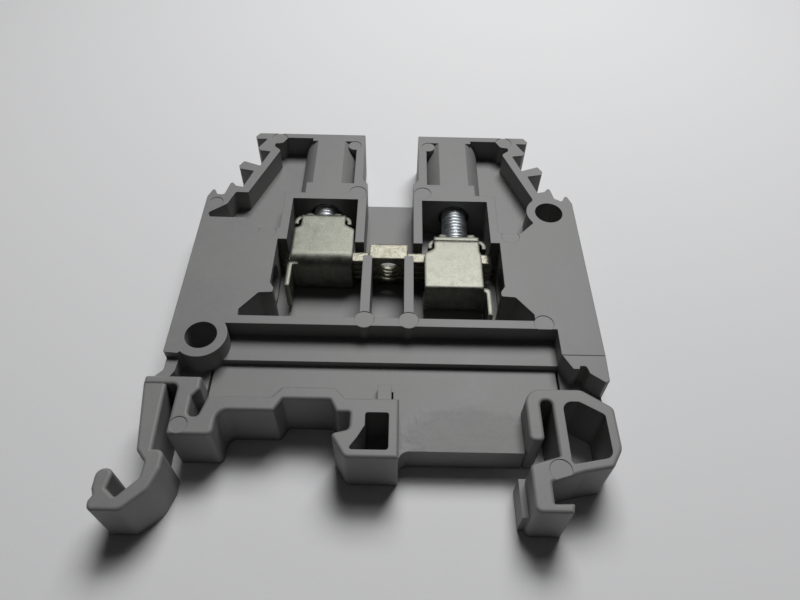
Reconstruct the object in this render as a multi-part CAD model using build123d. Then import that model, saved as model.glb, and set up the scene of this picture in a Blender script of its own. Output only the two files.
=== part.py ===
from build123d import *
import os

# Feed-through screw terminal block for a 35 mm top-hat rail, lying on its closed side.
# +X is the wire direction, +Y points away from the rail, +Z comes out of the open side.
# Everything is drawn from the body's centre line (x) and the rail's seat (y). save() then moves
# the pieces, so that the origin is the middle of the rail's top face in the closed side's plane.

os.makedirs("parts", exist_ok=True)

# ---- Driving sizes (mm) ----------------------------------------------------------------------
skin = 0.9  # closed-side skin under the live pockets
wall = 1.0  # ribs, tower legs and pocket walls
hollow_floor = 3.3  # top of the foot plate and of the tower hollows
recess_floor = 4.0  # top of the long recess
strip_top = 5.2  # top of the strip that carries the latch arm
bleed = 0.5  # how far a cutter runs past the face it opens
soft_edge = 0.3  # rounding along the open side of the rim and both feet

# heights above the rail's seat
tower_top = 42.5
roof_top = 31.5  # top of the pocket roof, and the screw head's seat
rib_top = 13.2  # long rib under the pockets
recess_end = 9.1
rim_top = 4.0  # upper edge of the rim above the rail
rim_width = 1.5

# rail and feet
rail_width = 35.0
rail_thickness = 1.0
rail_clearance = 0.25  # each side of the rail
flange_clearance = 0.4  # above and below the rail's flange
rail_shift = -2.25  # rail centre from the body's centre line
body_overhang = 3.9  # either side wall beyond half the rail's width
foot_drop = 6.45  # fixed hook below the seat
hook_drop = 6.9  # latch hook below the seat
block_drop = 1.9  # centre foot below the seat

# clamps
screw_x = 7.65
screw_radius = 1.5  # M3
head_margin = 0.7  # screw head beyond its thread, radial
head_height = 2.0
driver_gap = 0.1  # radial, screw head in its tube
thread_gap = 0.03  # radial, screw in the cage's tapped top
shank_gap = 0.3  # radial, screw in the pocket roof
end_gap = 0.05  # screw tip above the busbar, and head above its seat
slot_width = 0.8
tube_wall = 1.1
dome_drop = 0.3  # the tube's outside sits a little lower than its bore
sheet = 0.6  # cage strip
cage_height = 7.5
bar_side_gap = 0.15  # busbar to cage wall
screw_side_gap = 0.3  # screw thread to cage wall
cage_floor_gap = 0.05  # cage to the closed side's skin
cover_gap = 0.25  # cage below the open side
cage_inward = 3.7  # cage wall's reach from the screw towards the centre
cage_outward = 2.55  # and away from it
back_outward = 3.05  # the same for the wall with the strip's bend
cage_side_gap = 0.2
cage_neck = 2.6  # half width of the strip where it bends over the top
cage_shoulder = 2.6  # neck's length below the top
ear_reach = 3.25
ear_drop = 1.3
ear_sheet = 0.45
finger_rise = 0.42  # folded fingers above the crown
sheared = 0.12  # break of a sheared edge
seam = 0.12  # gap where the strip's end meets the crown
lip_reach = 3.35
lip_drop = 3.0
lip_gap = 0.35  # lip to pocket wall
cage_rest_gap = 0.15  # left cage's bottom under the busbar, as it rests
open_travel = 3.45  # how much lower the right cage rests
wire_radius = 2.0
funnel_radius = 2.4
funnel_depth = 2.0

# busbar
bar_y = 21.7  # underside
bar_arm = 1.3
bar_middle = 2.1
bar_arm_width = 3.3
bar_middle_width = 4.4
bar_half_length = 11.5
bar_middle_half = 2.1
bar_hole_radius = 1.45  # tapped M3
bar_groove = 0.15  # width and depth of the rolled grooves under the bar

# marks left by the mould's ejector pins
mark_radius = 1.0
small_mark_radius = 0.8
mark_depth = 0.06

# joining holes
join_radius = 1.58
join_wall = 1.0
right_join_inset = 2.95  # from the side wall
right_join_y = 28.9
left_join_inset = 3.2
left_join_y = 10.7

# ---- Sizes that follow -----------------------------------------------------------------------
half_width = rail_width / 2 + body_overhang
head_radius = screw_radius + head_margin
cage_half = sheet + max(bar_arm_width / 2 + bar_side_gap, screw_radius + screw_side_gap)
mid_z = skin + cage_floor_gap + cage_half  # height of the screw, busbar and wire axes
thickness = mid_z + cage_half + cover_gap  # closed side to open side
dome_z = mid_z - dome_drop
right_join = (half_width - right_join_inset, right_join_y)
left_join = (left_join_inset - half_width, left_join_y)
pocket_in = screw_x - cage_inward - cage_side_gap
pocket_out = screw_x + lip_reach + lip_gap
leg_in = pocket_in - wall
roof_under = roof_top - wall
rib_under = rib_top - wall
tube_radius = head_radius + driver_gap
dome_radius = tube_radius + tube_wall
dome_right = screw_x + dome_radius
channel_end = tower_top - 7.8  # skin between the towers stops here
rib_x = leg_in - wall  # centre ribs: inner face
leg_end = bar_y + bar_arm + 0.6
wide_x = pocket_out + wall
wire_y = bar_y - wire_radius
lean = half_width - 4.0  # foot of the slanted rib that carries the marker teeth
boss_radius = join_radius + join_wall

latch_x = rail_shift - rail_width / 2 - rail_clearance
column_x = rail_shift + rail_width / 2 + rail_clearance
flange_y = -rail_thickness - flange_clearance
foot_top = 6.0  # top edge of the latch bar
foot_left = column_x - 2.45
leg_width = 1.35
column_width = 0.95
block_right = 1.4
arm_slot_right = latch_x + 0.8
tab_half = 0.65
tab_top = 4.3
right_foot_top = 5.35
recess_right = half_width - 4.25
slit = 0.25  # beside the foot plate
slit_x = recess_right - 0.05
hinge_y = 5.1  # underside of the bar that carries the latch arm
arm_gap = 0.05
arm_outer = latch_x - 2.42


# ---- Helpers ---------------------------------------------------------------------------------
def outline(*corners):
    """A closed face; a corner is (x, y) or (x, y, fillet radius)."""
    points = [(corner[0], corner[1]) for corner in corners]
    radii = [corner[2] if len(corner) > 2 else 0 for corner in corners]
    return make_face(FilletPolyline(*points, radius=radii, close=True))


def prism(face, low, high):
    return Pos(0, 0, low) * extrude(face, high - low)


def soft_prism(face, sharp_y=None):
    """Full-thickness prism, rounded along its open side except on a straight edge at sharp_y."""
    solid = prism(face, 0, thickness)
    edges = solid.faces().sort_by(Axis.Z)[-1].edges()
    if sharp_y is not None:
        edges = edges.filter_by(lambda edge: abs(edge.center().Y - sharp_y) > 0.01)
    return fillet(edges, soft_edge)


def slab(x0, x1, y0, y1, z0, z1):
    size = Box(x1 - x0, y1 - y0, z1 - z0, align=(Align.MIN, Align.MIN, Align.MIN))
    return Pos(x0, y0, z0) * size


def upright(x, y, radius, low, high):
    return Pos(x, y, low) * Cylinder(radius, high - low, align=(Align.CENTER, Align.CENTER, Align.MIN))


def along_y(x, radius, y0, y1, z=mid_z):
    rod = Cylinder(radius, y1 - y0, align=(Align.CENTER, Align.CENTER, Align.MIN))
    return Pos(x, y0, z) * Rot(-90, 0, 0) * rod


def along_x(y, radius, x0, x1, z=mid_z, end_radius=None):
    if end_radius is None:
        rod = Cylinder(radius, x1 - x0, align=(Align.CENTER, Align.CENTER, Align.MIN))
    else:
        rod = Cone(radius, end_radius, x1 - x0, align=(Align.CENTER, Align.CENTER, Align.MIN))
    return Pos(x0, y, z) * Rot(0, 90, 0) * rod


def mirrored(part):
    return part.mirror(Plane.YZ)


def save(name, part):
    part = Pos(-rail_shift, 0, 0) * part
    part.label = name
    export_step(part, f"parts/{name}.step")


# ---- Housing: one side of the body, from the long rib to the tower's top ----------------------
def side_face():
    """Right half of the body with its tower and marker teeth."""
    shoulder = roof_under
    return outline(
        (0, rib_under),
        (half_width, rib_under),
        (half_width, shoulder, 0.8),
        (half_width - 0.55, shoulder + 1.5, 0.2),
        (half_width - 1.1, shoulder + 0.4, 0.3),
        (half_width - 1.9, shoulder + 0.4, 0.3),
        (half_width - 2.4, shoulder + 2.75, 0.2),
        (half_width - 3.0, shoulder + 1.95, 0.3),
        (lean + 0.15, shoulder + 1.75),
        (lean - 0.75, tower_top - 7.35, 0.15),
        (lean + 1.05, tower_top - 6.95, 0.15),
        (lean + 1.2, tower_top - 6.45, 0.2),
        (lean + 0.7, tower_top - 5.55, 0.15),
        (lean - 1.35, tower_top - 6.35, 0.1),
        (lean - 2.25, tower_top - 3.6, 0.1),
        (lean - 0.95, tower_top - 3.4, 0.1),
        (lean - 0.6, tower_top - 2.95, 0.15),
        (lean - 1.6, tower_top - 1.1, 0.15),
        (lean - 0.25, tower_top - 1.15, 0.15),
        (lean, tower_top - 0.75, 0.3),
        (lean - 0.5, tower_top, 0.2),
        (leg_in + 0.65, tower_top, 0.15),
        (leg_in + 0.6, channel_end),
        (0, channel_end),
    )


def side_hollow():
    """Hollow between the driver tube, the slanted rib and the pocket wall."""
    top = tower_top - 0.8
    hole_y = right_join[1]
    return outline(
        (dome_right - 1.0, top),
        (lean - 4.1, top, 0.2),
        (lean - 3.6, top - 0.95, 0.3),
        (lean - 2.65, top - 1.2, 0.3),
        (lean - 2.65, top - 1.75, 0.3),
        (lean - 3.5, top - 2.5, 0.4),
        (lean - 0.6, roof_top - 0.3),
        (lean - 1.0, hole_y - 1.8),
        (lean - 2.5, hole_y - 3.4),
        (wide_x, hole_y - 3.4, 0.3),
        (wide_x, roof_top),
        (dome_right - 1.0, roof_top),
    )


def clamp_pocket():
    """Pocket for the clamp cage, wider below the roof's wall, with the hollow in its corner."""
    nose = wide_x - 0.45
    return outline(
        (pocket_in, rib_top),
        (pocket_in, roof_under),
        (pocket_out, roof_under),
        (pocket_out, leg_end + 0.3),
        (wide_x, leg_end + 0.3),
        (wide_x, rib_top + 4.4),
        (nose, rib_top + 3.7, 0.3),
        (nose, rib_top + 3.1, 0.2),
        (wide_x + 1.0, rib_top + 3.0, 0.3),
        (wide_x + 2.7, rib_top + 0.8, 0.2),
        (wide_x + 2.7, rib_top, 0.2),
    )


def jumper_channel():
    """Half of the channel that runs up between the towers."""
    return outline(
        (0, leg_end),
        (leg_in, leg_end),
        (leg_in, channel_end - 1.5),
        (leg_in + 0.6, channel_end - 0.6),
        (leg_in + 0.6, channel_end + bleed),
        (0, channel_end + bleed),
    )


def side_body():
    """Right half of the body, cut out from the open side."""
    open_top = thickness + bleed
    body = prism(side_face(), 0, thickness)
    body -= prism(side_hollow(), hollow_floor, open_top)
    body -= slab(leg_in + 1.65, dome_right, roof_top + 1.8, tower_top - 1.3, hollow_floor, open_top)
    dome = along_y(screw_x, dome_radius, roof_under, tower_top, dome_z)
    body += dome & slab(leg_in + 0.7, dome_right + 1, roof_under, tower_top, 0, thickness)
    body -= prism(clamp_pocket(), skin, open_top)
    body -= prism(jumper_channel(), skin, open_top)
    # beside and between the centre ribs, and the busbar's passage over them
    body -= slab(rib_x + wall, pocket_in + bleed, rib_top, bar_y, skin, open_top)
    body -= slab(0, rib_x, rib_top, bar_y, skin, open_top)
    body -= slab(0, pocket_in + bleed, bar_y, leg_end + 0.01, skin, open_top)
    # driver tube, screw passage and wire funnel
    body -= along_y(screw_x, tube_radius, roof_top, tower_top + bleed)
    body -= along_y(screw_x, screw_radius + shank_gap, roof_under - bleed, roof_top + bleed)
    body -= along_x(wire_y, wire_radius, wide_x - bleed, half_width + bleed)
    body -= along_x(wire_y, wire_radius, half_width - funnel_depth, half_width, end_radius=funnel_radius)
    return body


# ---- Housing: from the long rib down to the rail ---------------------------------------------
def left_channel():
    return outline(
        (-lean + 1.4, right_join[1] + 2.4),
        (-lean - 0.8, right_join[1] + 2.45, 0.3),
        (-lean - 1.5, right_join[1] + 0.4, 0.6),
        (-lean - 3.4, right_join[1] - 1.1, 0.3),
        (-lean - 3.1, right_join[1] - 1.75, 0.25),
        (-lean + 1.4, right_join[1] - 1.8),
    )


def right_wall():
    """Full-height wall beside the long recess, with its catch notch."""
    return outline(
        (recess_right, rib_under),
        (recess_right, recess_end + 0.1),
        (recess_right + 0.9, 7.55, 0.2),
        (recess_right + 1.5, 7.55),
        (recess_right + 1.55, 7.9, 0.2),
        (recess_right + 2.2, 7.9, 0.3),
        (recess_right + 2.4, 7.1, 0.2),
        (half_width - 0.5, 6.1, 0.1),
        (half_width - 0.1, 6.3, 0.1),
        (half_width, recess_end),
        (half_width, rib_under),
    )


def left_wall():
    x, y = left_join
    return outline(
        (-half_width, rib_under),
        (-half_width, recess_end - 0.5, 0.15),
        (x - 1.8, recess_end - 0.6),
        (x, y),
        (x + 2.0, rib_under),
    )


def latch_strip():
    """Strip from the body's corner to the latch bar."""
    return outline(
        (-half_width + 0.2, recess_end),
        (-half_width + 0.2, hinge_y + 2.0, 0.4),
        (arm_outer + 0.1, hinge_y + 0.8),
        (arm_outer + 1.7, hinge_y + 0.8),
        (arm_outer + 2.3, hinge_y + 1.9),
        (arm_outer + 2.4, recess_end),
    )


def foot_plate():
    """Plate under the rim, down to the rail's seat on the right of the centre foot."""
    left = -slit_x + slit / 2
    right = slit_x - slit / 2
    return outline(
        (left, recess_end + bleed),
        (right, recess_end + bleed),
        (right, right_foot_top),
        (foot_left + 0.5, right_foot_top - 0.8),
        (foot_left + 0.5, 0.6),
        (foot_left, 0.6),
        (foot_left, 0),
        (block_right, 0, 1.0),
        (block_right, -1.4),
        (block_right - 0.4, -1.4),
        (block_right - 0.4, rim_top - 0.8),
        (-3.5, rim_top - 0.8),
        (-4.4, rim_top + 0.4),
        (-9.5, rim_top + 0.4),
        (-10.4, rim_top - 0.8),
        (left + 0.6, rim_top - 0.8),
        (left, rim_top + 0.2),
    )


def rim():
    """Latch bar, rib, rim with its raised middle, and centre foot."""
    low = rim_top - rim_width
    return outline(
        (arm_outer, hinge_y),
        (arm_outer, foot_top, 0.2),
        (-slit_x - 0.05, foot_top, 0.15),
        (-slit_x, rim_top + 0.7, 0.4),
        (-slit_x - 0.6, rim_top - 0.15),
        (-slit_x - 0.55, low - 0.65, 0.44),
        (-slit_x + 0.35, low - 0.65, 0.4),
        (-slit_x + 0.9, rim_top),
        (-10.4, rim_top, 0.4),
        (-9.5, rim_top + 1.1, 0.4),
        (-4.6, rim_top + 1.1, 0.6),
        (-3.6, rim_top, 0.3),
        (block_right, rim_top),
        (block_right, -block_drop, 0.15),
        (-3.35, -block_drop, 0.7),
        (-4.75, 0.4, 0.35),
        (-3.05, 0.85, 0.5),
        (-3.05, low, 0.2),
        (-4.3, low, 0.2),
        (-4.95, rim_top - 0.25, 0.25),
        (-9.35, rim_top - 0.25, 0.25),
        (-10.05, low, 0.3),
        (latch_x + 4.9, low, 0.95),
        (latch_x + 4.85, 0, 0.55),
        (arm_slot_right, 0, 0.2),
        (arm_slot_right, hinge_y, 0.5),
    )


def block_window():
    bottom = -block_drop + 0.75
    return outline(
        (0.5, 2.5, 0.25),
        (0.5, bottom, 0.3),
        (-3.1, bottom, 0.2),
        (-2.3, 0.0, 0.2),
        (-1.65, 1.2, 0.2),
        (-1.65, 2.5, 0.25),
    )


def fixed_foot():
    """Right foot: stub leg, column against the rail's edge, window loop and hook."""
    return outline(
        (foot_left, 0, 0.5),
        (foot_left, right_foot_top, 1.6),
        (column_x + 2.9, right_foot_top, 1.2),
        (column_x + 5.65, 3.5, 0.7),
        (column_x + 5.65, -0.6, 1.4),
        (column_x + 4.6, -2.35, 0.6),
        (column_x + 2, -2.85),
        (column_x - 1, -3.8, 0.2),
        (column_x - 1, -5.65, 0.1),
        (column_x + 0.7, -5.6, 0.1),
        (column_x + 0.5, -foot_drop, 0.15),
        (column_x - 2.7, -foot_drop, 0.6),
        (column_x - 2.7, flange_y - 0.8, 0.6),
        (column_x, flange_y, 0.1),
        (column_x, rim_top + 0.1, 0.5),
        (foot_left + leg_width, rim_top + 0.1, 0.5),
        (foot_left + leg_width, 0, 0.5),
    )


def foot_window():
    inner = column_x + column_width
    return outline(
        (inner, rim_top, 0.9),
        (column_x + 2.5, rim_top, 0.4),
        (column_x + 4.7, 2.7, 0.5),
        (column_x + 4.7, -1.45, 0.8),
        (inner, -2.2, 0.3),
    )


def latch_profile():
    """Latch arm with its rail shoulder and the curled release hook."""
    return outline(
        (arm_outer, hinge_y - arm_gap),
        (latch_x - 1.35, flange_y - 0.1, 0.6),
        (latch_x - 0.4, -2.6, 0.4),
        (latch_x - 0.45, -4.0, 0.6),
        (latch_x - 2.05, -5.75, 0.2),
        (latch_x - 2.95, -5.0, 0.1),
        (latch_x - 2.7, -3.2, 0.6),
        (latch_x - 4.25, -3.2, 0.75),
        (latch_x - 4.2, -5.0, 0.1),
        (latch_x - 3.95, -5.6, 0.2),
        (latch_x - 4.2, -6.1, 0.1),
        (latch_x - 4.1, -hook_drop, 0.5),
        (latch_x - 1.4, -hook_drop, 0.9),
        (latch_x + 0.5, -5.1, 1.5),
        (latch_x + 1.1, -3.2, 1.0),
        (latch_x + 1.1, flange_y, 0.7),
        (latch_x, flange_y),
        (latch_x - 0.3, hinge_y - arm_gap),
    )


def round_marks():
    """Centres and radii of the shallow round marks on the open side's faces."""
    rib_line = rib_top - 0.2
    pairs = [
        (lean - 3.1, tower_top - 0.95, mark_radius),
        (leg_in + 1.9, tower_top - 2.05, small_mark_radius),
        (leg_in + 1.1, roof_top + 0.25, mark_radius),
        (wide_x + 1.3, leg_end + 1.4, mark_radius),
        (rib_x + wall / 2, rib_line, mark_radius),
    ]
    marks = [(side * x, y, r) for side in (-1, 1) for x, y, r in pairs]
    marks.append((1.2 - half_width, right_join_y + 0.7, small_mark_radius))
    marks.append((recess_right - 1.25, rib_line - 0.1, mark_radius))
    marks.append((arm_slot_right + 0.95, 0.95, small_mark_radius))
    return marks


def housing():
    open_top = thickness + bleed
    right = side_body()
    body = right + mirrored(right)
    body += upright(*right_join, boss_radius, hollow_floor, thickness)
    body -= upright(*right_join, join_radius, -bleed, open_top)
    body -= prism(left_channel(), hollow_floor, open_top)

    # long recess, the walls beside it and the left boss
    body += slab(-recess_right + 1.0, recess_right, recess_end, rib_under, 0, recess_floor)
    body += prism(right_wall(), 0, thickness)
    body += prism(left_wall(), 0, thickness)
    body += upright(*left_join, boss_radius, 0, thickness)
    for side in (-1, 1):
        body += upright(side * (rib_x + wall / 2), rib_top - 0.2, mark_radius, 0, thickness)
        body += upright(side * (leg_in + 1.9), tower_top - 2.05, small_mark_radius, 0, thickness)

    # necks to the two feet, latch strip, foot plate, rim and centre foot
    left_edge = -slit_x - slit / 2
    right_edge = slit_x + slit / 2
    body += slab(-half_width + 0.2, left_edge, foot_top - 0.3, recess_end + 1.5, 0, hollow_floor)
    body += slab(right_edge, half_width - 0.3, right_foot_top, recess_end + 1.5, 0, hollow_floor)
    body += prism(latch_strip(), 0, strip_top)
    body += prism(foot_plate(), 0, hollow_floor)
    body += soft_prism(rim(), hinge_y)
    body += slab(-tab_half, tab_half, rim_top - 0.5, rim_top + 2.5, 0, tab_top)
    body -= slab(tab_half + 0.05, tab_half + 0.2, rim_top + 0.3, rim_top + 2.2, -bleed, open_top)
    body -= prism(block_window(), skin, open_top)
    body += upright(-0.7, -0.5, 0.75, 0, 2.4)
    body -= upright(*left_join, join_radius, skin, open_top)
    for x, y, radius in round_marks():
        body -= upright(x, y, radius, thickness - mark_depth, open_top)
    # witness line between two mould inserts
    body -= slab(recess_right, half_width + bleed, recess_end, recess_end + 0.06, thickness - mark_depth, open_top)
    return body - prism(fixed_foot(), -bleed, open_top)


def rail_foot():
    foot = soft_prism(fixed_foot())
    foot += slab(column_x - 3.3, column_x - 2.1, -foot_drop + 0.6, flange_y - 0.9, 0, thickness / 2)
    foot -= upright(column_x - 0.1, flange_y - 1.3, mark_radius, thickness - mark_depth, thickness + bleed)
    return foot - prism(foot_window(), -bleed, thickness + bleed)


# ---- Metal parts -----------------------------------------------------------------------------
def busbar():
    bottom = mid_z - bar_arm_width / 2
    arms = slab(-bar_half_length, bar_half_length, bar_y, bar_y + bar_arm, bottom, bottom + bar_arm_width)
    ends = arms.edges().filter_by(Axis.Y)
    bar = fillet(ends, 0.8)
    low = mid_z - bar_middle_width / 2
    bar += slab(-bar_middle_half, bar_middle_half, bar_y, bar_y + bar_middle, low, low + bar_middle_width)
    for line in (-1, 0, 1):
        groove_z = mid_z + line * bar_arm_width / 3.5 - bar_groove / 2
        bar -= slab(-bar_half_length, bar_half_length, bar_y, bar_y + bar_groove, groove_z, groove_z + bar_groove)
    return bar - along_y(0, bar_hole_radius, bar_y - bleed, bar_y + bar_middle + bleed)


def cage_sides(bottom, outward):
    """Plan outline of a cage wall, from below its bottom to above its crown."""
    top = bottom + cage_height
    shoulder = top - cage_shoulder
    return outline(
        (screw_x - cage_inward, bottom - 1),
        (screw_x - cage_inward, shoulder, 0.4),
        (screw_x - cage_neck, shoulder + 0.7, 0.4),
        (screw_x - cage_neck, top + 1),
        (screw_x + cage_neck - 0.2, top + 1),
        (screw_x + cage_neck - 0.2, shoulder + 0.4, 0.2),
        (screw_x + outward, shoulder, 0.1),
        (screw_x + outward, bottom - 1),
    )


def clamp_cage(bottom):
    """Folded strip about the right-hand screw; its outer bottom face is at `bottom`."""
    top = bottom + cage_height
    half = cage_half
    crown = 2 * sheet + 0.1  # the strip's end lies under its top
    bend = sheet + 0.1
    ring = make_face(
        FilletPolyline(
            (bottom, -half),
            (top, -half),
            (top, half),
            (bottom, half),
            radius=[1.4, bend, sheared, 0.5 * sheet],
            close=True,
        )
    )
    hole = make_face(
        FilletPolyline(
            (bottom + sheet, sheet - half),
            (top - crown, sheet - half),
            (top - crown, half - sheet),
            (bottom + sheet, half - sheet),
            radius=0.25,
            close=True,
        )
    )
    # the profile's first axis is Y and its second is Z
    turn = Location(Plane(origin=(screw_x - cage_inward, 0, mid_z), x_dir=(0, 1, 0), z_dir=(1, 0, 0)))
    strip = turn * extrude(ring - hole, cage_inward + back_outward)
    cage = strip & prism(cage_sides(bottom, cage_outward), mid_z, thickness)
    cage += strip & prism(cage_sides(bottom, back_outward), 0, mid_z)
    # ears curled down from the crown, and the lip hung from the bottom's outer end
    low = mid_z - half + sheet
    high = mid_z + half - sheet
    for side in (-1, 1):
        ear = outline(
            (screw_x + side * (cage_neck - 0.6), top - ear_sheet),
            (screw_x + side * (cage_neck - 0.6), top),
            (screw_x + side * ear_reach, top, 2 * ear_sheet),
            (screw_x + side * ear_reach, top - ear_drop),
            (screw_x + side * (ear_reach - ear_sheet), top - ear_drop),
            (screw_x + side * (ear_reach - ear_sheet), top - ear_sheet, ear_sheet - 0.02),
        )
        cage += prism(ear, low, high)
        finger = outline(
            (screw_x + side * 1.15, top - 0.2),
            (screw_x + side * 1.15, top + finger_rise, 0.3),
            (screw_x + side * 2.05, top + finger_rise, 0.3),
            (screw_x + side * 2.05, top - 0.2),
        )
        cage += prism(finger, low, mid_z + half - sheared)
    lip = outline(
        (screw_x + cage_outward - 0.3, bottom),
        (screw_x + cage_outward - 0.3, bottom + sheet),
        (screw_x + lip_reach, bottom + sheet - 0.1, 0.6),
        (screw_x + lip_reach, bottom - lip_drop),
        (screw_x + lip_reach - 0.5, bottom - lip_drop),
        (screw_x + lip_reach - 0.5, bottom, 0.15),
    )
    cage += prism(lip, low, high)
    seam_top = top - sheet
    cage -= slab(screw_x - cage_inward, screw_x + cage_outward, seam_top - seam, seam_top, mid_z + half - 0.35, thickness)
    return cage - along_y(screw_x, screw_radius + thread_gap, top - crown - bleed, top + bleed)


def clamp_screw():
    screw = along_y(screw_x, screw_radius, bar_y + bar_arm + end_gap, roof_top + 0.1)
    screw += along_y(screw_x, head_radius, roof_top + end_gap, roof_top + head_height)
    slot = slab(
        screw_x - head_radius - bleed,
        screw_x + head_radius + bleed,
        roof_top + head_height / 2,
        roof_top + head_height + bleed,
        mid_z - slot_width / 2,
        mid_z + slot_width / 2,
    )
    return screw - slot


closed_cage = bar_y - cage_rest_gap - sheet
half_turn = Pos(0, 0, mid_z) * Rot(0, 180, 0) * Pos(0, 0, -mid_z)

save("housing", housing())
save("rail_foot", rail_foot())
save("latch_arm", soft_prism(latch_profile(), hinge_y - arm_gap))
save("busbar", busbar())
save("clamp_cage_left", half_turn * clamp_cage(closed_cage))
save("clamp_cage_right", clamp_cage(closed_cage - open_travel))
save("clamp_screw_left", half_turn * clamp_screw())
save("clamp_screw_right", clamp_screw())
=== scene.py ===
import math

import bmesh
import bpy
from mathutils import Matrix, Vector


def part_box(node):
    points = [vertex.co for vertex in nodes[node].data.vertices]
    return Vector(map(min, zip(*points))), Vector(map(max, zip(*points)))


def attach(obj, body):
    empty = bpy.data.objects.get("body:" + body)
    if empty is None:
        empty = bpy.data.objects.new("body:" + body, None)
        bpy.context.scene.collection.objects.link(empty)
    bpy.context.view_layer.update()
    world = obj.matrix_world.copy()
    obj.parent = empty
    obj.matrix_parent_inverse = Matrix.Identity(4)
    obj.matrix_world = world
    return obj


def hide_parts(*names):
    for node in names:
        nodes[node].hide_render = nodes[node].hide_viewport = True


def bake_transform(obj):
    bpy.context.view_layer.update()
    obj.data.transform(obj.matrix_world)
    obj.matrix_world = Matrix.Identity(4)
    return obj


# Feed-through terminal block for a 35 mm rail, lying on its closed side on a sheet of paper.
# Sizes in this script are in metres; MM turns a size in millimetres into metres.

MM = 0.001
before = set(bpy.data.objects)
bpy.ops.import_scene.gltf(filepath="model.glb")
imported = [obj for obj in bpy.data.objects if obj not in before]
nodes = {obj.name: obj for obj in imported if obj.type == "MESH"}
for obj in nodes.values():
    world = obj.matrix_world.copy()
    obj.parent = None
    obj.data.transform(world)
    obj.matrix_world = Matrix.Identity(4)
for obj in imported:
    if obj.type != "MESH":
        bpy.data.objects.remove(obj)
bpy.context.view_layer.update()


# ---- Camera ------------------------------------------------------------------------------------
def add_camera(place, aim, roll, lens):
    camera = bpy.data.objects.new("camera", bpy.data.cameras.new("camera"))
    camera.data.lens = lens
    camera.data.sensor_width = 36.0
    camera.data.clip_start = 1 * MM
    camera.data.clip_end = 10.0
    turn = (aim - place).to_track_quat("-Z", "Y").to_matrix().to_4x4()
    camera.matrix_world = Matrix.Translation(place) @ turn @ Matrix.Rotation(math.radians(roll), 4, "Z")
    bpy.context.scene.collection.objects.link(camera)
    bpy.context.scene.camera = camera


add_camera(
    place=Vector((3.142, -26.114, 58.5)) * MM,
    aim=Vector((3.591, 15.55, 6.0)) * MM,
    roll=1.63,
    lens=29.25,
)


# ---- Shader helpers ----------------------------------------------------------------------------
def add_node(tree, kind, **values):
    """A shader node; keywords that name one of its inputs set that input, others set a property."""
    node = tree.nodes.new("ShaderNode" + kind)
    for key, value in values.items():
        if hasattr(node, key):
            setattr(node, key, value)
        else:
            node.inputs[key.replace("_", " ")].default_value = value
    return node


def join(tree, source, target):
    tree.links.new(source, target)


def new_group(name, takes, gives):
    tree = bpy.data.node_groups.new(name, "ShaderNodeTree")
    kinds = {"value": "NodeSocketFloat", "vector": "NodeSocketVector", "colour": "NodeSocketColor"}
    for label, kind, start in takes:
        socket = tree.interface.new_socket(label, in_out="INPUT", socket_type=kinds[kind])
        if start is not None:
            socket.default_value = start
    for label, kind in gives:
        tree.interface.new_socket(label, in_out="OUTPUT", socket_type=kinds[kind])
    return tree, tree.nodes.new("NodeGroupInput"), tree.nodes.new("NodeGroupOutput")


def maths(tree, operation, first, second=None, clamp=False):
    node = add_node(tree, "Math", operation=operation, use_clamp=clamp)
    for index, value in enumerate((first, second)):
        if value is None:
            continue
        if isinstance(value, (int, float)):
            node.inputs[index].default_value = value
        else:
            join(tree, value, node.inputs[index])
    return node.outputs[0]


def noise(tree, place, scale, detail=2.0, rough=0.5):
    node = add_node(tree, "TexNoise", Scale=scale, Detail=detail, Roughness=rough)
    join(tree, place, node.inputs["Vector"])
    return node.outputs["Fac"]


def spread(tree, value, low, high, to_low=0.0, to_high=1.0):
    node = add_node(tree, "MapRange")
    node.inputs["From Min"].default_value = low
    node.inputs["From Max"].default_value = high
    node.inputs["To Min"].default_value = to_low
    node.inputs["To Max"].default_value = to_high
    join(tree, value, node.inputs["Value"])
    return node.outputs["Result"]


def place_in_millimetres(tree):
    """Object coordinates in millimetres, so that every scale below is per millimetre."""
    where = add_node(tree, "TexCoord")
    scale = add_node(tree, "VectorMath", operation="SCALE", Scale=1 / MM)
    join(tree, where.outputs["Object"], scale.inputs[0])
    return scale.outputs[0]


# ---- Shared surface effects --------------------------------------------------------------------
def make_moulded_grain():
    """Eroded mould grain, the slow ripple of the plastic's flow, and its drift in tone."""
    takes = [
        ("Place", "vector", None),
        ("Grain Scale", "value", 9.0),
        ("Grain", "value", 1.0),
        ("Ripple", "value", 1.0),
    ]
    gives = [("Height", "value"), ("Tone", "value"), ("Specks", "value")]
    tree, start, end = new_group("moulded grain", takes, gives)
    place = start.outputs["Place"]
    grain = add_node(tree, "TexNoise", Detail=3.0, Roughness=0.6)
    join(tree, place, grain.inputs["Vector"])
    join(tree, start.outputs["Grain Scale"], grain.inputs["Scale"])
    ripple = noise(tree, place, 0.55, 2.0)
    height = maths(
        tree,
        "ADD",
        maths(tree, "MULTIPLY", grain.outputs["Fac"], start.outputs["Grain"]),
        maths(tree, "MULTIPLY", ripple, start.outputs["Ripple"]),
    )
    join(tree, height, end.inputs["Height"])
    slow = noise(tree, place, 0.13, 3.0, 0.6)
    quick = noise(tree, place, 2.4, 3.0, 0.65)
    tone = maths(tree, "ADD", maths(tree, "MULTIPLY", slow, 0.65), maths(tree, "MULTIPLY", quick, 0.35))
    join(tree, tone, end.inputs["Tone"])
    join(tree, spread(tree, noise(tree, place, 3.1, 1.0), 0.74, 0.8), end.inputs["Specks"])
    return tree


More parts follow.
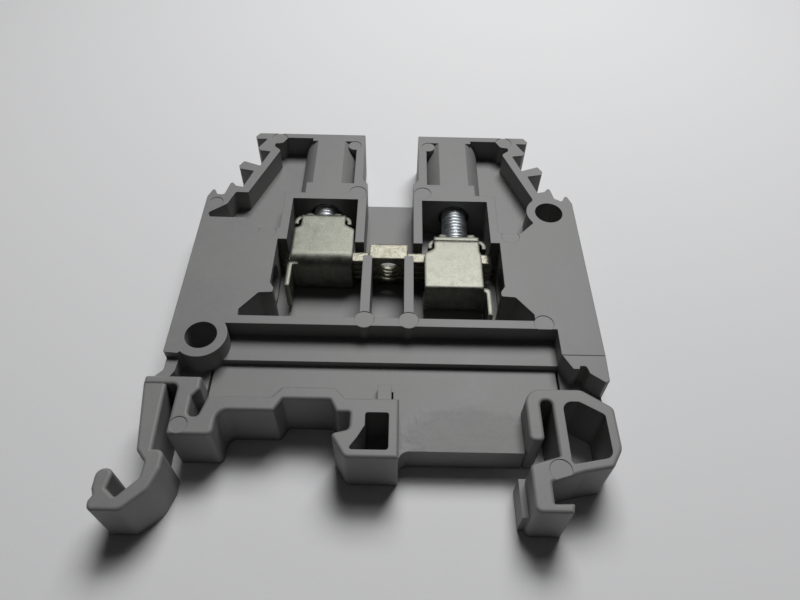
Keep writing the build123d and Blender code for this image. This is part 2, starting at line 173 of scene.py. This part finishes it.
def make_rounded_edge_highlight():
    """Normal rounded over every edge, and a broken mask of the edges themselves, with which the materials
    paint a highlight on the edges.
    """
    takes = [("Place", "vector", None), ("Radius", "value", 0.1 * MM), ("Break Up", "value", 0.5)]
    tree, start, end = new_group("rounded edge highlight", takes, [("Mask", "value"), ("Normal", "vector")])
    bevel = add_node(tree, "Bevel", samples=6)
    join(tree, start.outputs["Radius"], bevel.inputs["Radius"])
    face = add_node(tree, "NewGeometry")
    dot = add_node(tree, "VectorMath", operation="DOT_PRODUCT")
    join(tree, bevel.outputs["Normal"], dot.inputs[0])
    join(tree, face.outputs["Normal"], dot.inputs[1])
    edge = spread(tree, dot.outputs["Value"], 0.995, 0.82)
    patchy = spread(tree, noise(tree, start.outputs["Place"], 1.7, 4.0, 0.65), 0.35, 0.65)
    kept = maths(tree, "SUBTRACT", 1.0, maths(tree, "MULTIPLY", start.outputs["Break Up"], patchy))
    join(tree, maths(tree, "MULTIPLY", edge, kept, clamp=True), end.inputs["Mask"])
    join(tree, bevel.outputs["Normal"], end.inputs["Normal"])
    return tree


def make_plating_pits():
    """Small dark pits and specks in a plated or tinned surface."""
    takes = [("Place", "vector", None), ("Amount", "value", 0.6)]
    tree, start, end = new_group("plating pits", takes, [("Mask", "value")])
    fine = spread(tree, noise(tree, start.outputs["Place"], 7.0, 3.0, 0.65), 0.46, 0.38)
    patch = spread(tree, noise(tree, start.outputs["Place"], 0.9, 2.0, 0.5), 0.3, 0.55)
    scattered = maths(tree, "MULTIPLY", fine, patch)
    join(tree, maths(tree, "MULTIPLY", scattered, start.outputs["Amount"], clamp=True), end.inputs["Mask"])
    return tree


def make_corner_dust_and_shade():
    """Mask of corners and hollows, broken by noise: pale dust on the plastic, and painted shade on the
    metal.
    """
    takes = [("Place", "vector", None), ("Reach", "value", 1.2 * MM), ("Amount", "value", 1.0)]
    tree, start, end = new_group("corner dust and shade", takes, [("Mask", "value")])
    hollow = add_node(tree, "AmbientOcclusion", samples=6, only_local=False)
    join(tree, start.outputs["Reach"], hollow.inputs["Distance"])
    corner = spread(tree, hollow.outputs["AO"], 0.85, 0.3)
    broken = spread(tree, noise(tree, start.outputs["Place"], 2.0, 4.0, 0.7), 0.4, 0.62)
    settled = maths(tree, "MULTIPLY", corner, broken)
    join(tree, maths(tree, "MULTIPLY", settled, start.outputs["Amount"], clamp=True), end.inputs["Mask"])
    return tree


def make_drawn_scratches():
    """Fine lines along one way of the metal, with a few stray scratches across them."""
    takes = [("Place", "vector", None), ("Stretch", "vector", (1.0, 0.06, 1.0)), ("Density", "value", 9.0)]
    gives = [("Lines", "value"), ("Stray", "value"), ("Mottle", "value")]
    tree, start, end = new_group("drawn scratches", takes, gives)
    along = add_node(tree, "VectorMath", operation="MULTIPLY")
    join(tree, start.outputs["Place"], along.inputs[0])
    join(tree, start.outputs["Stretch"], along.inputs[1])
    lines = add_node(tree, "TexNoise", Detail=4.0, Roughness=0.6)
    join(tree, along.outputs[0], lines.inputs["Vector"])
    join(tree, start.outputs["Density"], lines.inputs["Scale"])
    join(tree, lines.outputs["Fac"], end.inputs["Lines"])
    bent = add_node(tree, "TexNoise", Scale=0.9, Detail=1.0)
    join(tree, start.outputs["Place"], bent.inputs["Vector"])
    crossed = add_node(tree, "VectorMath", operation="ADD")
    join(tree, start.outputs["Place"], crossed.inputs[0])
    join(tree, bent.outputs["Color"], crossed.inputs[1])
    cells = add_node(tree, "TexVoronoi", feature="DISTANCE_TO_EDGE", Scale=0.8)
    join(tree, crossed.outputs[0], cells.inputs["Vector"])
    thin = spread(tree, cells.outputs["Distance"], 0.012, 0.0)
    where = spread(tree, noise(tree, start.outputs["Place"], 1.1, 2.0), 0.52, 0.6)
    join(tree, maths(tree, "MULTIPLY", thin, where), end.inputs["Stray"])
    broad = noise(tree, start.outputs["Place"], 1.1, 2.0)
    fine = noise(tree, start.outputs["Place"], 6.0, 5.0, 0.75)
    mottle = maths(tree, "ADD", maths(tree, "MULTIPLY", broad, 0.5), maths(tree, "MULTIPLY", fine, 0.5))
    join(tree, mottle, end.inputs["Mottle"])
    return tree


moulded_grain = make_moulded_grain()
rounded_edge_highlight = make_rounded_edge_highlight()
plating_pits = make_plating_pits()
corner_dust_and_shade = make_corner_dust_and_shade()
drawn_scratches = make_drawn_scratches()


# ---- Materials ---------------------------------------------------------------------------------
MIX_COLOUR_INPUTS = (6, 7)  # the Mix node's two colour sockets
MIX_COLOUR_OUTPUT = 2
POLYAMIDE_DARK = (0.196, 0.195, 0.196)
POLYAMIDE_PALE = (0.236, 0.235, 0.231)
# pale colour for the painted highlight on the plastic's rounded edges
POLYAMIDE_EDGE_HIGHLIGHT = (0.31, 0.31, 0.305)
POLYAMIDE_SPECK = (0.12, 0.12, 0.12)
POLYAMIDE_DUST = (0.27, 0.265, 0.25)
# dark of the plating pits, and of the painted shade in the metal's corners
METAL_PITS_AND_SHADE = (0.10, 0.095, 0.08)
ROUGH_PATCH_CENTRE = (10.5, 1.7, 3.3)  # in millimetres
ROUGH_PATCH_REACH = (6.5, 3.0, 0.6)


def new_material(name, **shader):
    material = bpy.data.materials.new(name)
    material.use_nodes = True
    tree = material.node_tree
    principled = tree.nodes["Principled BSDF"]
    for key, value in shader.items():
        principled.inputs[key.replace("_", " ")].default_value = value
    return material, tree, principled


def use_group(tree, group, place, **values):
    node = tree.nodes.new("ShaderNodeGroup")
    node.node_tree = group
    join(tree, place, node.inputs["Place"])
    for key, value in values.items():
        node.inputs[key.replace("_", " ")].default_value = value
    return node


def blended_colour(tree, fac, first, second):
    """Mix of two colours; either may be a plain colour or another node's output."""
    node = add_node(tree, "Mix", data_type="RGBA")
    join(tree, fac, node.inputs["Factor"])
    for index, value in zip(MIX_COLOUR_INPUTS, (first, second)):
        if isinstance(value, tuple):
            node.inputs[index].default_value = (*value, 1.0)
        else:
            join(tree, value, node.inputs[index])
    return node.outputs[MIX_COLOUR_OUTPUT]


def tinted(tree, mask, amount, base, tint):
    """The base colour, with a share of the tint where the mask is."""
    return blended_colour(tree, maths(tree, "MULTIPLY", mask, amount), base, tint)


def relief(tree, height, distance, strength, normal=None):
    bump = add_node(tree, "Bump", Strength=strength, Distance=distance)
    join(tree, height, bump.inputs["Height"])
    if normal is not None:
        join(tree, normal, bump.inputs["Normal"])
    return bump.outputs["Normal"]


def rough_patch(tree, place):
    """Coarser mould finish on the foot plate, to the right of the centre foot."""
    offset = add_node(tree, "VectorMath", operation="SUBTRACT")
    join(tree, place, offset.inputs[0])
    offset.inputs[1].default_value = ROUGH_PATCH_CENTRE
    scaled = add_node(tree, "VectorMath", operation="DIVIDE")
    join(tree, offset.outputs[0], scaled.inputs[0])
    scaled.inputs[1].default_value = ROUGH_PATCH_REACH
    length = add_node(tree, "VectorMath", operation="LENGTH")
    join(tree, scaled.outputs[0], length.inputs[0])
    unevenness = maths(tree, "MULTIPLY", noise(tree, place, 0.8, 3.0), 0.6)
    ragged = maths(tree, "ADD", length.outputs["Value"], unevenness)
    return spread(tree, ragged, 1.4, 1.15)


def make_polyamide():
    """Grey moulded polyamide: satin, faintly grained, with a painted highlight on its rounded edges, dusty
    in its corners.
    """
    material, tree, principled = new_material("grey polyamide", IOR=1.53, Specular_IOR_Level=0.4)
    place = place_in_millimetres(tree)
    grain = use_group(tree, moulded_grain, place, Grain_Scale=9.0, Grain=1.0, Ripple=3.0)
    edges = use_group(tree, rounded_edge_highlight, place, Radius=0.11 * MM, Break_Up=0.45)
    dust_and_shade = use_group(tree, corner_dust_and_shade, place, Reach=1.1 * MM, Amount=0.55)
    tone = spread(tree, grain.outputs["Tone"], 0.3, 0.7)
    body = blended_colour(tree, tone, POLYAMIDE_DARK, POLYAMIDE_PALE)
    # painted highlight: the colour turns paler where the edge mask is
    edge_highlighted = tinted(tree, edges.outputs["Mask"], 0.35, body, POLYAMIDE_EDGE_HIGHLIGHT)
    specked = tinted(tree, grain.outputs["Specks"], 0.35, edge_highlighted, POLYAMIDE_SPECK)
    dusty = tinted(tree, dust_and_shade.outputs["Mask"], 0.35, specked, POLYAMIDE_DUST)
    join(tree, dusty, principled.inputs["Base Color"])
    rough = maths(
        tree,
        "ADD",
        spread(tree, grain.outputs["Tone"], 0.3, 0.7, 0.47, 0.58),
        maths(tree, "MULTIPLY", dust_and_shade.outputs["Mask"], 0.25),
    )
    join(tree, rough, principled.inputs["Roughness"])
    patch = rough_patch(tree, place)
    coarseness = maths(tree, "ADD", maths(tree, "MULTIPLY", patch, 5.0), 1.0)
    height = maths(tree, "MULTIPLY", grain.outputs["Height"], coarseness)
    bumpy = relief(tree, height, 0.012 * MM, 0.45, edges.outputs["Normal"])
    join(tree, bumpy, principled.inputs["Normal"])
    return material


def make_metal(name, colours, roughness, stretch, relief_depth, edge_radius, pitting):
    """Plated metal: dark, pale and scratch colours, a roughness range, and lines along one way; the
    scratch colour also paints a highlight on its edges, and painted shade darkens its corners.
    """
    dark, pale, bright = colours
    material, tree, principled = new_material(name, Metallic=1.0)
    place = place_in_millimetres(tree)
    lines = use_group(tree, drawn_scratches, place, Stretch=stretch)
    edges = use_group(tree, rounded_edge_highlight, place, Radius=edge_radius, Break_Up=0.3)
    dust_and_shade = use_group(tree, corner_dust_and_shade, place, Reach=0.7 * MM, Amount=0.8)
    plate = blended_colour(tree, spread(tree, lines.outputs["Mottle"], 0.38, 0.62), dark, pale)
    # painted highlight: the bright colour laid over the edge mask
    metal_edge_highlighted = tinted(tree, edges.outputs["Mask"], 0.6, plate, bright)
    scratched = tinted(tree, lines.outputs["Stray"], 0.5, metal_edge_highlighted, bright)
    pits = use_group(tree, plating_pits, place, Amount=pitting)
    pitted = blended_colour(tree, pits.outputs["Mask"], scratched, METAL_PITS_AND_SHADE)
    # painted shade: the metal darkens towards this colour in its corners and hollows
    corner_shaded = tinted(tree, dust_and_shade.outputs["Mask"], 0.4, pitted, METAL_PITS_AND_SHADE)
    join(tree, corner_shaded, principled.inputs["Base Color"])
    low, high = roughness
    rough = maths(
        tree,
        "ADD",
        spread(tree, lines.outputs["Mottle"], 0.38, 0.62, low, high),
        maths(tree, "MULTIPLY", dust_and_shade.outputs["Mask"], 0.2),
    )
    join(tree, rough, principled.inputs["Roughness"])
    height = maths(
        tree,
        "ADD",
        maths(tree, "ADD", lines.outputs["Lines"], maths(tree, "MULTIPLY", lines.outputs["Mottle"], 0.8)),
        maths(tree, "MULTIPLY", lines.outputs["Stray"], -0.5),
    )
    bumpy = relief(tree, height, relief_depth, 0.8, edges.outputs["Normal"])
    join(tree, bumpy, principled.inputs["Normal"])
    return material


polyamide = make_polyamide()
cage_plate = make_metal(
    "zinc plated strip",
    colours=((0.15, 0.153, 0.13), (0.25, 0.253, 0.218), (0.50, 0.50, 0.43)),
    roughness=(0.42, 0.56),
    stretch=(1.0, 0.25, 1.0),
    relief_depth=0.012 * MM,
    edge_radius=0.4 * MM,
    pitting=0.6,
)
screw_plate = make_metal(
    "blue zinc screw",
    colours=((0.55, 0.58, 0.60), (0.74, 0.77, 0.79), (0.90, 0.92, 0.94)),
    roughness=(0.36, 0.48),
    stretch=(1.0, 1.0, 1.0),
    relief_depth=0.0003 * MM,
    edge_radius=0.01 * MM,
    pitting=0.1,
)
bar_plate = make_metal(
    "tinned brass bar",
    colours=((0.12, 0.115, 0.09), (0.33, 0.322, 0.262), (0.66, 0.65, 0.54)),
    roughness=(0.28, 0.46),
    stretch=(0.5, 1.0, 1.0),
    relief_depth=0.05 * MM,
    edge_radius=0.3 * MM,
    pitting=0.8,
)


def make_paper():
    """Matt white paper with a faint fibre and slow shading."""
    material, tree, principled = new_material("white paper", Roughness=0.85, Specular_IOR_Level=0.25)
    place = place_in_millimetres(tree)
    slow = noise(tree, place, 0.012, 2.0)
    colour = blended_colour(tree, slow, (0.77, 0.775, 0.79), (0.80, 0.80, 0.805))
    join(tree, colour, principled.inputs["Base Color"])
    fibre = maths(tree, "ADD", noise(tree, place, 3.0, 4.0, 0.7), noise(tree, place, 0.4, 2.0))
    join(tree, relief(tree, fibre, 0.03 * MM, 0.35), principled.inputs["Normal"])
    return material


finishes = {
    "housing": polyamide,
    "rail_foot": polyamide,
    "clamp_cage_left": cage_plate,
    "clamp_cage_right": cage_plate,
    "busbar": bar_plate,
}
for name, finish in finishes.items():
    for slot in nodes[name].material_slots:
        slot.material = finish


# ---- Mesh helpers ------------------------------------------------------------------------------
def add_piece(name, mesh, material, body, sharp_angle):
    """A new piece of the object; it rides on a CAD body, unless no body is given, when it is left loose.
    """
    piece = bpy.data.objects.new(name, mesh)
    bpy.context.scene.collection.objects.link(piece)
    mesh.materials.append(material)
    for polygon in mesh.polygons:
        polygon.use_smooth = True
    mesh.set_sharp_from_angle(angle=math.radians(sharp_angle))
    if body is not None:
        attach(piece, body)
    return piece


def middle(node):
    low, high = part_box(node)
    return (Vector(low) + Vector(high)) / 2


def turned_rings(bm, rings, sides, radius_at):
    """Closed rings at these heights on the Y axis; radius_at(ring, y, angle) is each point's radius."""
    loops = []
    for ring, y in enumerate(rings):
        loop = []
        for k in range(sides):
            angle = 2 * math.pi * k / sides
            r = radius_at(ring, y, angle)
            loop.append(bm.verts.new((r * math.sin(angle), y, r * math.cos(angle))))
        loops.append(loop)
    for near, far in zip(loops, loops[1:]):
        for k in range(sides):
            n = (k + 1) % sides
            bm.faces.new((near[k], near[n], far[n], far[k]))
    bm.faces.new(reversed(loops[0]))
    bm.faces.new(loops[-1])


def mesh_from(bm, name):
    """A mesh of this name, made from the bmesh, which is freed."""
    mesh = bpy.data.meshes.new(name)
    bm.to_mesh(mesh)
    bm.free()
    return mesh


# ---- Clamp screws ------------------------------------------------------------------------------
THREAD_PITCH = 0.5 * MM
THREAD_MAJOR = 1.49 * MM  # radii
THREAD_MINOR = 1.2 * MM
THREAD_SIDES = 48
THREAD_STEPS = 10  # rings in each pitch
THREAD_END = 0.3 * MM  # plain neck between the thread and the head
TIP_TAPER = 0.9 * MM
TIP_SHARE = 0.62  # the tip's radius at its very end, as a share of the thread's
HEAD_HEIGHT = 1.95 * MM
HEAD_RADIUS = 2.2 * MM
HEAD_CHAMFER = 0.08 * MM
SLOT_WIDTH = 0.8 * MM
SLOT_DEPTH = 1.0 * MM


def thread_radius(y, angle):
    """Sixty-degree thread with flat crests and rounded roots, right-handed about +Y."""
    turn = (y / THREAD_PITCH - angle / (2 * math.pi)) % 1.0
    rise = min(1.0, max(0.0, 1.25 - 2.5 * abs(turn - 0.5)))
    rise = rise * rise * (3 - 2 * rise)
    return THREAD_MINOR + (THREAD_MAJOR - THREAD_MINOR) * rise


def screw_shaft(name, neck):
    """Threaded shaft from its tapered tip at y 0 to the neck under the head."""
    count = int((neck - THREAD_END) / THREAD_PITCH * THREAD_STEPS)
    rings = [k * THREAD_PITCH / THREAD_STEPS for k in range(count + 1)]

    def shaft(ring, y, angle):
        return thread_radius(y, angle) * min(1.0, TIP_SHARE + y / TIP_TAPER)

    bm = bmesh.new()
    turned_rings(bm, rings, THREAD_SIDES, shaft)
    return mesh_from(bm, name)


def screw_head(name, neck, length):
    """Cylinder head with a broken lower edge, a rounded upper one and a driver slot."""
    profile = [
        (neck - 0.35 * MM, THREAD_MINOR),
        (neck, THREAD_MINOR + 0.05 * MM),
        (neck, HEAD_RADIUS - HEAD_CHAMFER),
        (neck + HEAD_CHAMFER, HEAD_RADIUS),
        (length - 0.28 * MM, HEAD_RADIUS),
        (length - 0.14 * MM, HEAD_RADIUS - 0.06 * MM),
        (length - 0.04 * MM, HEAD_RADIUS - 0.2 * MM),
        (length, HEAD_RADIUS - 0.45 * MM),
    ]
    bm = bmesh.new()
    heights = [y for y, _ in profile]
    turned_rings(bm, heights, THREAD_SIDES, lambda ring, y, angle: profile[ring][1])
    bmesh.ops.recalc_face_normals(bm, faces=bm.faces)
    return cut_slot(mesh_from(bm, name), length)


def cut_slot(head_mesh, length):
    """The driver slot, cut across the head."""
    bm = bmesh.new()
    bmesh.ops.create_cube(bm, size=1.0)
    for vert in bm.verts:
        vert.co.x *= 3 * HEAD_RADIUS
        vert.co.y = vert.co.y * 2 * SLOT_DEPTH + length
        vert.co.z *= SLOT_WIDTH
    head = bpy.data.objects.new("head_blank", head_mesh)
    cutter = bpy.data.objects.new("slot_cutter", mesh_from(bm, "slot_cutter"))
    for item in (head, cutter):
        bpy.context.scene.collection.objects.link(item)
    cut = head.modifiers.new("slot", "BOOLEAN")
    cut.operation = "DIFFERENCE"
    cut.solver = "EXACT"
    cut.object = cutter
    evaluated = head.evaluated_get(bpy.context.evaluated_depsgraph_get())
    done = bpy.data.meshes.new_from_object(evaluated)
    for item in (head, cutter):
        bpy.data.objects.remove(item)
    return done


def screw_mesh(name, length):
    """Slotted cylinder-head screw; its tip is at y 0 and its head ends at length."""
    neck = length - HEAD_HEIGHT
    shaft = screw_shaft(name + "_shaft", neck)
    head = screw_head(name + "_head", neck, length)
    bm = bmesh.new()
    bm.from_mesh(head)
    bm.from_mesh(shaft)
    bmesh.ops.recalc_face_normals(bm, faces=bm.faces)
    return mesh_from(bm, name)


def add_screw(side):
    node = f"clamp_screw_{side}"
    low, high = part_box(node)
    name = f"{side}_screw_threaded"
    mesh = screw_mesh(name, high[1] - low[1])
    axis = middle(node)
    mesh.transform(Matrix.Translation((axis.x, low[1], axis.z)))
    screw = add_piece(name, mesh, screw_plate, f"{side}_screw", 40)
    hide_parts(node)


# ---- Busbar's tapped hole ----------------------------------------------------------------------
BAR_THREAD_ROOT = 1.46 * MM
BAR_THREAD_INSET = 0.05 * MM  # between each end of the thread and the bar's face
RIDGE_STEPS = 40  # in each turn
RIDGE_RUN_OUT = 12  # steps over which the ridge dies away


def helix_ridge(name, root, crest, low, high, pitch):
    """Thread ridge inside a hole about the Y axis."""
    bm = bmesh.new()
    half = 0.42 * pitch
    turns = (high - low - 2 * half) / pitch
    count = int(turns * RIDGE_STEPS)
    loops = []
    for k in range(count + 1):
        angle = 2 * math.pi * k / RIDGE_STEPS
        y = low + half + pitch * k / RIDGE_STEPS
        fade = min(1.0, k / RIDGE_RUN_OUT, (count - k) / RIDGE_RUN_OUT)
        tip = root - (root - crest) * (0.15 + 0.85 * fade)
        loop = []
        for r, offset in ((root, -half), (tip, -0.15 * half), (tip, 0.15 * half), (root, half)):
            loop.append(bm.verts.new((r * math.sin(angle), y + offset, r * math.cos(angle))))
        loops.append(loop)
    for near, far in zip(loops, loops[1:]):
        for k in range(4):
            n = (k + 1) % 4
            bm.faces.new((near[k], far[k], far[n], near[n]))
    bm.faces.new(loops[0])
    bm.faces.new(reversed(loops[-1]))
    bmesh.ops.recalc_face_normals(bm, faces=bm.faces)
    return mesh_from(bm, name)


def add_bar_thread():
    low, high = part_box("busbar")
    centre = middle("busbar")
    start = low[1] + BAR_THREAD_INSET
    stop = high[1] - BAR_THREAD_INSET
    mesh = helix_ridge("busbar_thread", BAR_THREAD_ROOT, THREAD_MINOR, start, stop, THREAD_PITCH)
    mesh.transform(Matrix.Translation((centre.x, 0, centre.z)))
    add_piece("busbar_thread", mesh, bar_plate, "body", 30)


# ---- Latch arm ---------------------------------------------------------------------------------
ARM_ROOT = 5.1 * MM  # underside of the bar that the arm grows from
ARM_STIFF = 2.4 * MM  # below this the arm keeps its shape
ARM_CUT = 0.15 * MM  # spacing of the cuts that let the arm bend


def add_latch_arm():
    """The arm bends at its root, so it is one mesh between the body and the latch."""
    bm = bmesh.new()
    bm.from_mesh(nodes["latch_arm"].data)
    top = max(vert.co.y for vert in bm.verts)
    for vert in bm.verts:
        if vert.co.y > top - 0.02 * MM:
            vert.co.y = ARM_ROOT
    for k in range(1, int((ARM_ROOT - ARM_STIFF) / ARM_CUT) + 2):
        geometry = bm.verts[:] + bm.edges[:] + bm.faces[:]
        level = (0, ARM_ROOT - k * ARM_CUT, 0)
        bmesh.ops.bisect_plane(bm, geom=geometry, plane_co=level, plane_no=(0, 1, 0))
    mesh = mesh_from(bm, "latch_arm_flexing")
    arm = add_piece("latch_arm_flexing", mesh, polyamide, None, 35)
    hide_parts("latch_arm")
    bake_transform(arm)


add_screw("left")
add_screw("right")
add_bar_thread()
add_latch_arm()


# ---- Floor and light ---------------------------------------------------------------------------
def add_floor(reach):
    """Square sheet of paper under the object, from its middle out to the reach."""
    corners = [(-reach, -reach, 0), (reach, -reach, 0), (reach, reach, 0), (-reach, reach, 0)]
    mesh = bpy.data.meshes.new("floor")
    mesh.from_pydata(corners, [], [(0, 1, 2, 3)])
    floor = bpy.data.objects.new("floor", mesh)
    bpy.context.scene.collection.objects.link(floor)
    mesh.materials.append(make_paper())


def add_area_light(name, place, aim, size, power):
    light = bpy.data.lights.new(name, "AREA")
    light.shape = "RECTANGLE"
    light.size, light.size_y = size
    light.energy = power
    lamp = bpy.data.objects.new(name, light)
    lamp.location = place
    lamp.rotation_euler = (Vector(aim) - Vector(place)).to_track_quat("-Z", "Y").to_euler()
    bpy.context.scene.collection.objects.link(lamp)


def add_sun(name, towards, strength, spread_angle):
    """Broad even light, so that the paper stays pale far from the object."""
    light = bpy.data.lights.new(name, "SUN")
    light.energy = strength
    light.angle = math.radians(spread_angle)
    lamp = bpy.data.objects.new(name, light)
    lamp.rotation_euler = Vector(towards).to_track_quat("-Z", "Y").to_euler()
    bpy.context.scene.collection.objects.link(lamp)


def add_room(fill, backdrop):
    """Dim fill light, with a pale wall behind everything the camera sees past the paper."""
    world = bpy.data.worlds.new("room")
    bpy.context.scene.world = world
    world.use_nodes = True
    tree = world.node_tree
    dim = tree.nodes["Background"]
    dim.inputs["Color"].default_value = (1.0, 1.0, 1.0, 1.0)
    dim.inputs["Strength"].default_value = fill
    wall = add_node(tree, "Background", Strength=backdrop)
    wall.inputs["Color"].default_value = (0.9, 0.92, 0.95, 1.0)
    mix = add_node(tree, "MixShader")
    join(tree, add_node(tree, "LightPath").outputs["Is Camera Ray"], mix.inputs["Fac"])
    join(tree, dim.outputs[0], mix.inputs[1])
    join(tree, wall.outputs[0], mix.inputs[2])
    join(tree, mix.outputs[0], tree.nodes["World Output"].inputs["Surface"])


add_floor(reach=0.8)
add_room(fill=0.025, backdrop=0.6)
add_sun("high_window", towards=(-0.12, -0.5, -1.0), strength=0.75, spread_angle=22)
add_area_light(
    "near_window",
    place=(0.028, 0.118, 0.165),
    aim=(0.012, 0.03, 0.0),
    size=(0.10, 0.075),
    power=0.235,
)
bpy.context.scene.view_settings.view_transform = "Standard"
